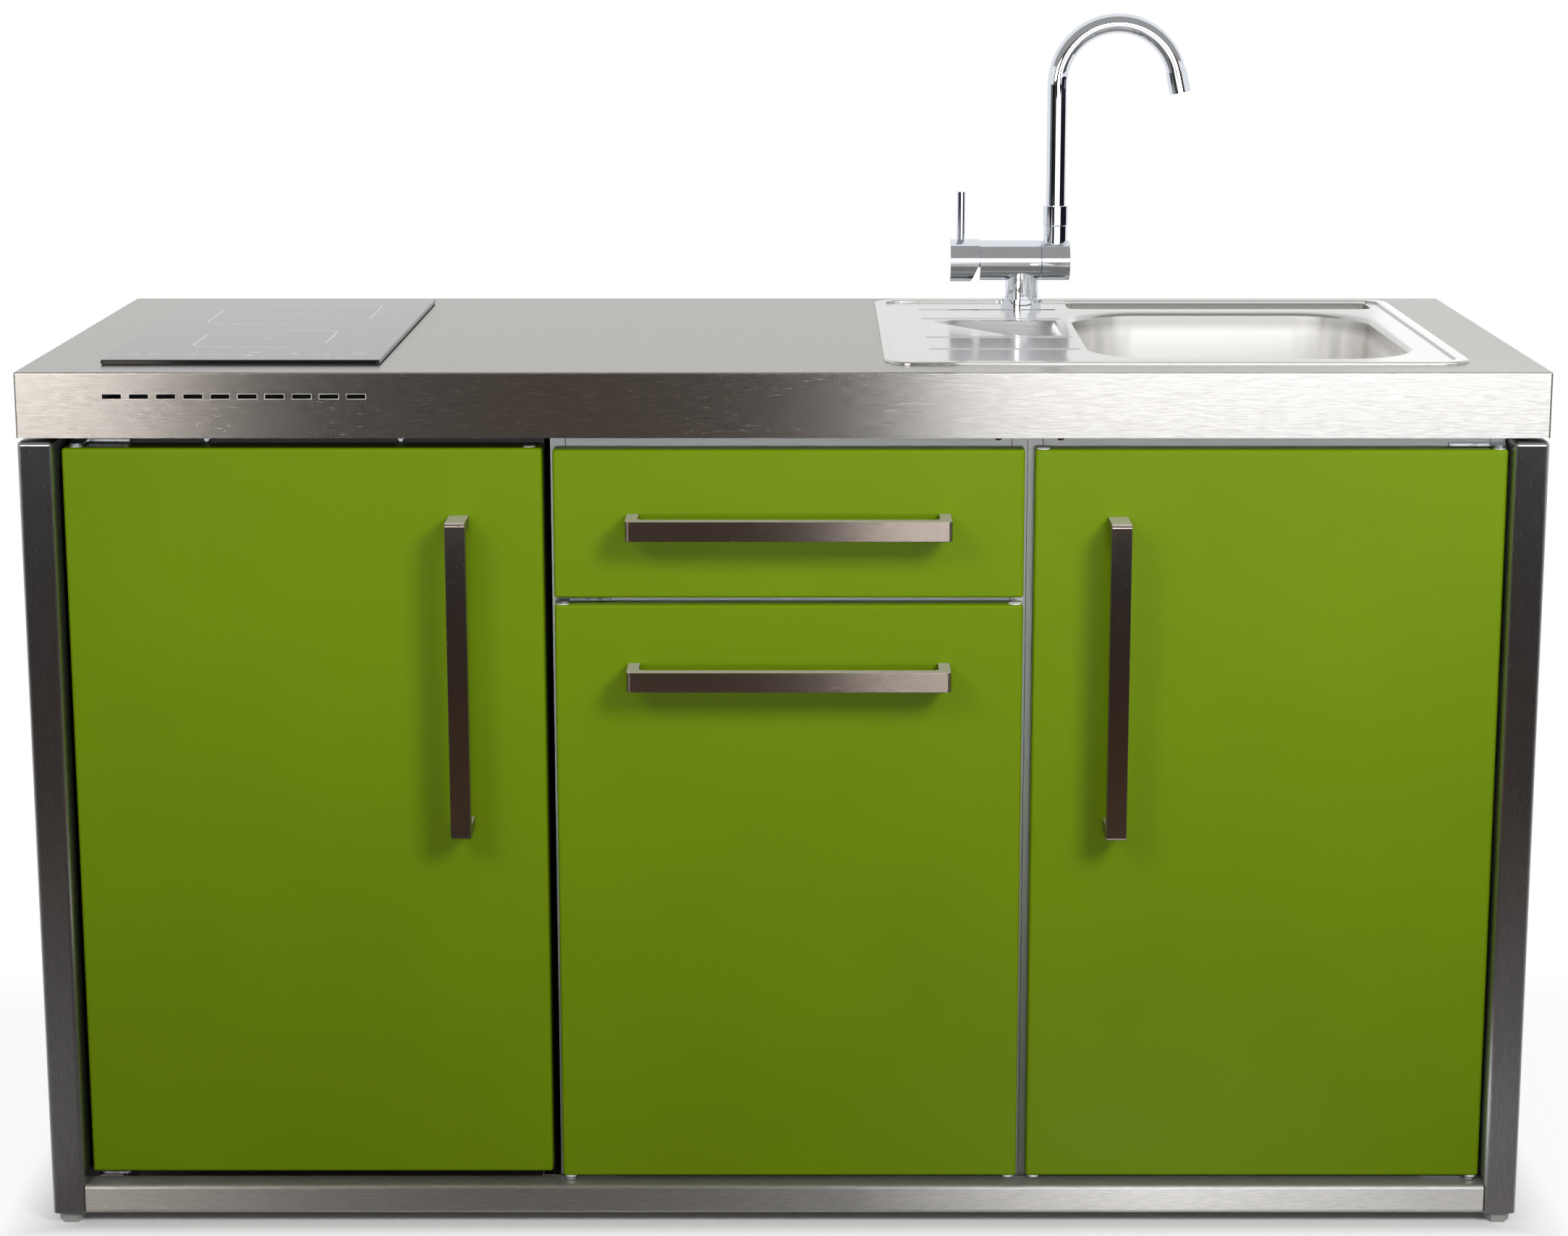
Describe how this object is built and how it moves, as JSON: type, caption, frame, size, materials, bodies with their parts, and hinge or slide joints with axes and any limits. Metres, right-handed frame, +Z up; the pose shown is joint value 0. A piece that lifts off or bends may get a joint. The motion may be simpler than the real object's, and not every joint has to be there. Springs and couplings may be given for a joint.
{
  "type": "outdoor kitchen",
  "caption": "Free-standing stainless outdoor kitchen with induction hob, drainer sink, fold-down tap, fridge, drawer and two cupboards behind green steel fronts.",
  "frame": {"origin": "on the floor under the feet, at the middle of the overall width and depth, handles included", "axes": "+X to the right as seen from the front, +Y to the back, +Z up"},
  "size_m": [1.5, 0.628, 1.2092],
  "materials": {
    "stainless": "satin",
    "handle_steel": "satin",
    "sink_steel": "satin",
    "core_board": "matte",
    "hob_glass": "gloss",
    "seal_rubber": "matte",
    "hob_box": "satin",
    "coil_copper": "satin",
    "pipe_white": "satin",
    "tap_chrome": "polished",
    "zinc_steel": "satin",
    "carcass_grey": "satin",
    "door_green": "satin",
    "nylon_white": "matte",
    "foot_grey": "matte",
    "fridge_case": "satin",
    "fridge_white": "satin",
    "clear_tray": "gloss",
    "shelf_glass": "gloss",
    "black_enamel": "gloss"
  },
  "bodies": {
    "frame": {"side_frame_left": "stainless", "side_frame_right": "stainless", "crossbars": "stainless", "base_bearers": "stainless", "side_panels": "stainless", "back_panel": "stainless", "worktop": "stainless", "worktop_core": "core_board", "hob_glass": "hob_glass", "hob_seal": "seal_rubber", "hob_housing": "hob_box", "induction_coils": "coil_copper", "sink": "sink_steel", "waste_fitting": "sink_steel", "waste_trap": "pipe_white", "tap_base": "tap_chrome", "tap_body": "tap_chrome", "tap_nut": "zinc_steel", "mid_carcass": "carcass_grey", "mid_shelf": "carcass_grey", "drawer_runners": "zinc_steel", "cupboard_door_hinges": "zinc_steel", "sink_door_hinges": "zinc_steel", "fridge_door_hinges": "zinc_steel", "sink_carcass": "carcass_grey", "fridge_cabinet": "fridge_case", "fridge_liner": "fridge_white", "fridge_shelves": "shelf_glass", "crisper_box": "clear_tray", "compressor": "black_enamel"},
    "foot_fl": {"foot_front_left": "foot_grey"},
    "foot_fr": {"foot_front_right": "foot_grey"},
    "foot_rl": {"foot_rear_left": "foot_grey"},
    "foot_rr": {"foot_rear_right": "foot_grey"},
    "fridge_door": {"fridge_door_skin": "door_green", "fridge_door_liner": "fridge_white", "fridge_door_gasket": "seal_rubber", "fridge_door_racks": "clear_tray", "fridge_door_plugs": "nylon_white", "fridge_door_handle": "handle_steel"},
    "cupboard_door": {"cupboard_door_skin": "door_green", "cupboard_door_liner": "carcass_grey", "cupboard_door_plugs": "nylon_white", "cupboard_door_handle": "handle_steel"},
    "sink_door": {"sink_door_skin": "door_green", "sink_door_liner": "carcass_grey", "sink_door_plugs": "nylon_white", "sink_door_handle": "handle_steel"},
    "drawer": {"drawer_front": "door_green", "drawer_front_liner": "carcass_grey", "drawer_tray": "carcass_grey", "drawer_slides": "zinc_steel", "drawer_handle": "handle_steel"},
    "tap_turn": {"tap_spindle": "tap_chrome"},
    "tap_lever": {"tap_lever": "tap_chrome"},
    "tap_fold": {"tap_fold_hub": "tap_chrome"},
    "tap_swan": {"tap_spout": "tap_chrome", "tap_aerator": "tap_chrome"},
    "strainer": {"strainer_basket": "sink_steel"},
    "dial": {"thermostat_dial": "fridge_white"}
  },
  "joints": [
    {"name": "fridge_door_hinge", "type": "hinge", "parent": "frame", "child": "fridge_door", "pos_m": [-0.697, -0.26, 0.428], "axis": [0, 0, -1], "range_deg": [0, 95]},
    {"name": "cupboard_door_hinge", "type": "hinge", "parent": "frame", "child": "cupboard_door", "pos_m": [-0.2195, -0.265, 0.347], "axis": [0, 0, -1], "range_deg": [0, 95]},
    {"name": "sink_door_hinge", "type": "hinge", "parent": "frame", "child": "sink_door", "pos_m": [0.705, -0.265, 0.425], "axis": [0, 0, 1], "range_deg": [0, 95]},
    {"name": "drawer_slide", "type": "slide", "parent": "frame", "child": "drawer", "axis": [0, -1, 0], "range_m": [0, 0.38]},
    {"name": "tap_temperature", "type": "hinge", "parent": "frame", "child": "tap_turn", "pos_m": [0.2046, 0.24, 0.9342], "axis": [1, 0, 0], "range_deg": [-45, 45]},
    {"name": "tap_flow", "type": "hinge", "parent": "tap_turn", "child": "tap_lever", "pos_m": [0.2046, 0.24, 0.9342], "axis": [0, -1, 0], "range_deg": [0, 20]},
    {"name": "tap_fold_down", "type": "hinge", "parent": "frame", "child": "tap_fold", "pos_m": [0.303, 0.24, 0.9342], "axis": [1, 0, 0], "range_deg": [0, 90]},
    {"name": "spout_swivel", "type": "hinge", "parent": "tap_fold", "child": "tap_swan", "pos_m": [0.303, 0.24, 1], "axis": [0, 0, 1], "range_deg": [-120, 30]},
    {"name": "strainer_lift", "type": "slide", "parent": "frame", "child": "strainer", "axis": [0, 0, 1], "range_m": [0, 0.06]},
    {"name": "thermostat_turn", "type": "hinge", "parent": "frame", "child": "dial", "pos_m": [-0.2745, -0.059, 0.7185], "axis": [1, 0, 0], "range_deg": [-135, 135]},
    {"name": "foot_fl_screw", "type": "slide", "parent": "frame", "child": "foot_fl", "axis": [0, 0, -1], "range_m": [0, 0.012]},
    {"name": "foot_fr_screw", "type": "slide", "parent": "frame", "child": "foot_fr", "axis": [0, 0, -1], "range_m": [0, 0.012]},
    {"name": "foot_rl_screw", "type": "slide", "parent": "frame", "child": "foot_rl", "axis": [0, 0, -1], "range_m": [0, 0.012]},
    {"name": "foot_rr_screw", "type": "slide", "parent": "frame", "child": "foot_rr", "axis": [0, 0, -1], "range_m": [0, 0.012]}
  ]
}
